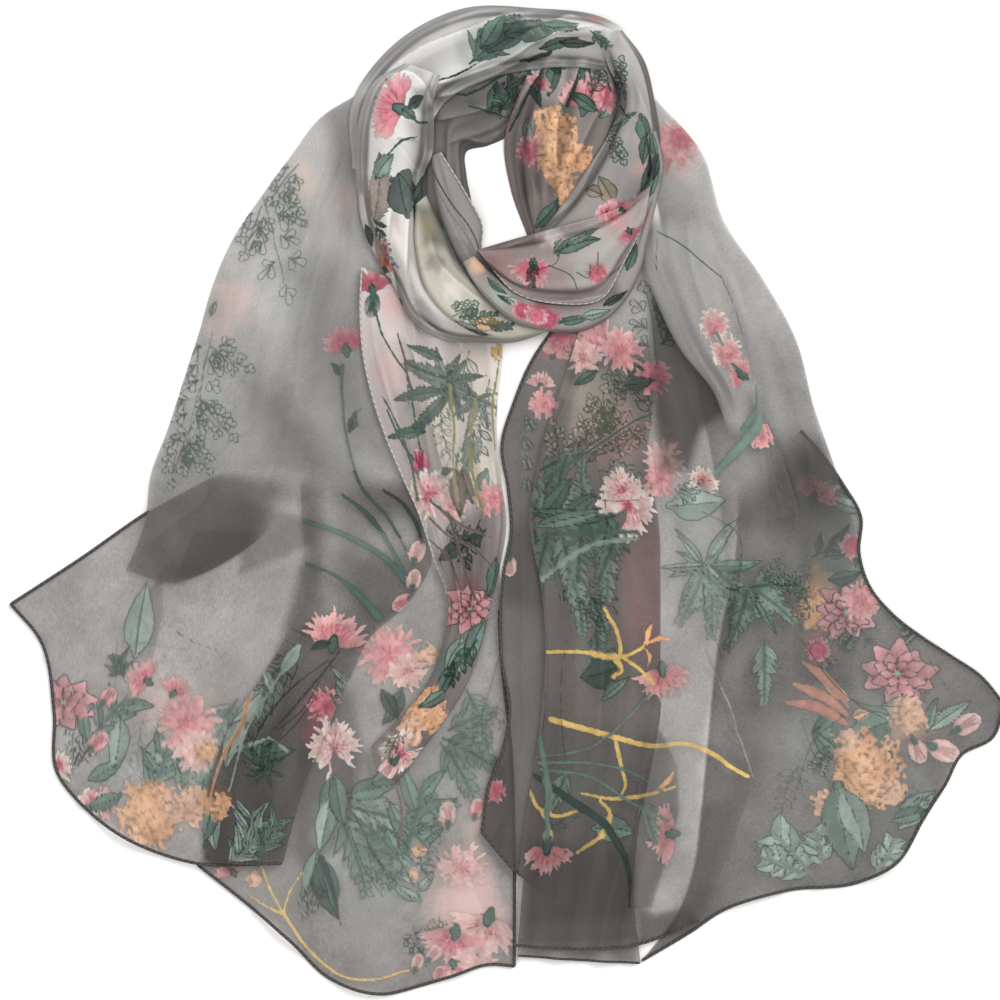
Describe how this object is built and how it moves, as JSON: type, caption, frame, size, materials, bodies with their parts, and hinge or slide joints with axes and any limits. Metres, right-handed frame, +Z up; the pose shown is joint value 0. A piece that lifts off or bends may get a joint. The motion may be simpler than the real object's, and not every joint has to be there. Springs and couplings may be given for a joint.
{
  "type": "printed chiffon scarf",
  "caption": "Long sheer scarf wound once into a round neck loop, with both tails laid out flat in overlapping, softly folded layers.",
  "frame": {"origin": "centre of the laid scarf's outline, on the surface that it rests on", "axes": "+Z up from the surface, +Y towards the neck loop, +X towards the right tail as seen from above"},
  "size_m": [0.645, 0.6418, 0.0422],
  "materials": {
    "chiffon_grey": "sheer matt weave",
    "chiffon_dark": "sheer matt weave",
    "chiffon_floral": "sheer matt weave, printed",
    "chiffon_pale": "sheer matt weave, printed",
    "chiffon_cream": "sheer matt weave, printed",
    "chiffon_rose": "sheer matt weave, printed"
  },
  "bodies": {
    "root": {"left_lower": "chiffon_grey", "left_wing": "chiffon_grey", "left_tongue": "chiffon_dark", "left_outer": "chiffon_grey", "left_inner": "chiffon_pale", "right_corner": "chiffon_grey", "right_strip": "chiffon_dark", "right_under": "chiffon_floral", "right_outer": "chiffon_grey", "right_front": "chiffon_grey", "right_twist": "chiffon_pale", "neck_inner": "chiffon_dark", "inner_left": "chiffon_grey", "right_inner": "chiffon_floral", "right_strand": "chiffon_pale", "neck_back": "chiffon_pale", "left_strand": "chiffon_pale", "cream_fold": "chiffon_cream", "rope_roll": "chiffon_rose", "front_band": "chiffon_rose"}
  },
  "joints": []
}
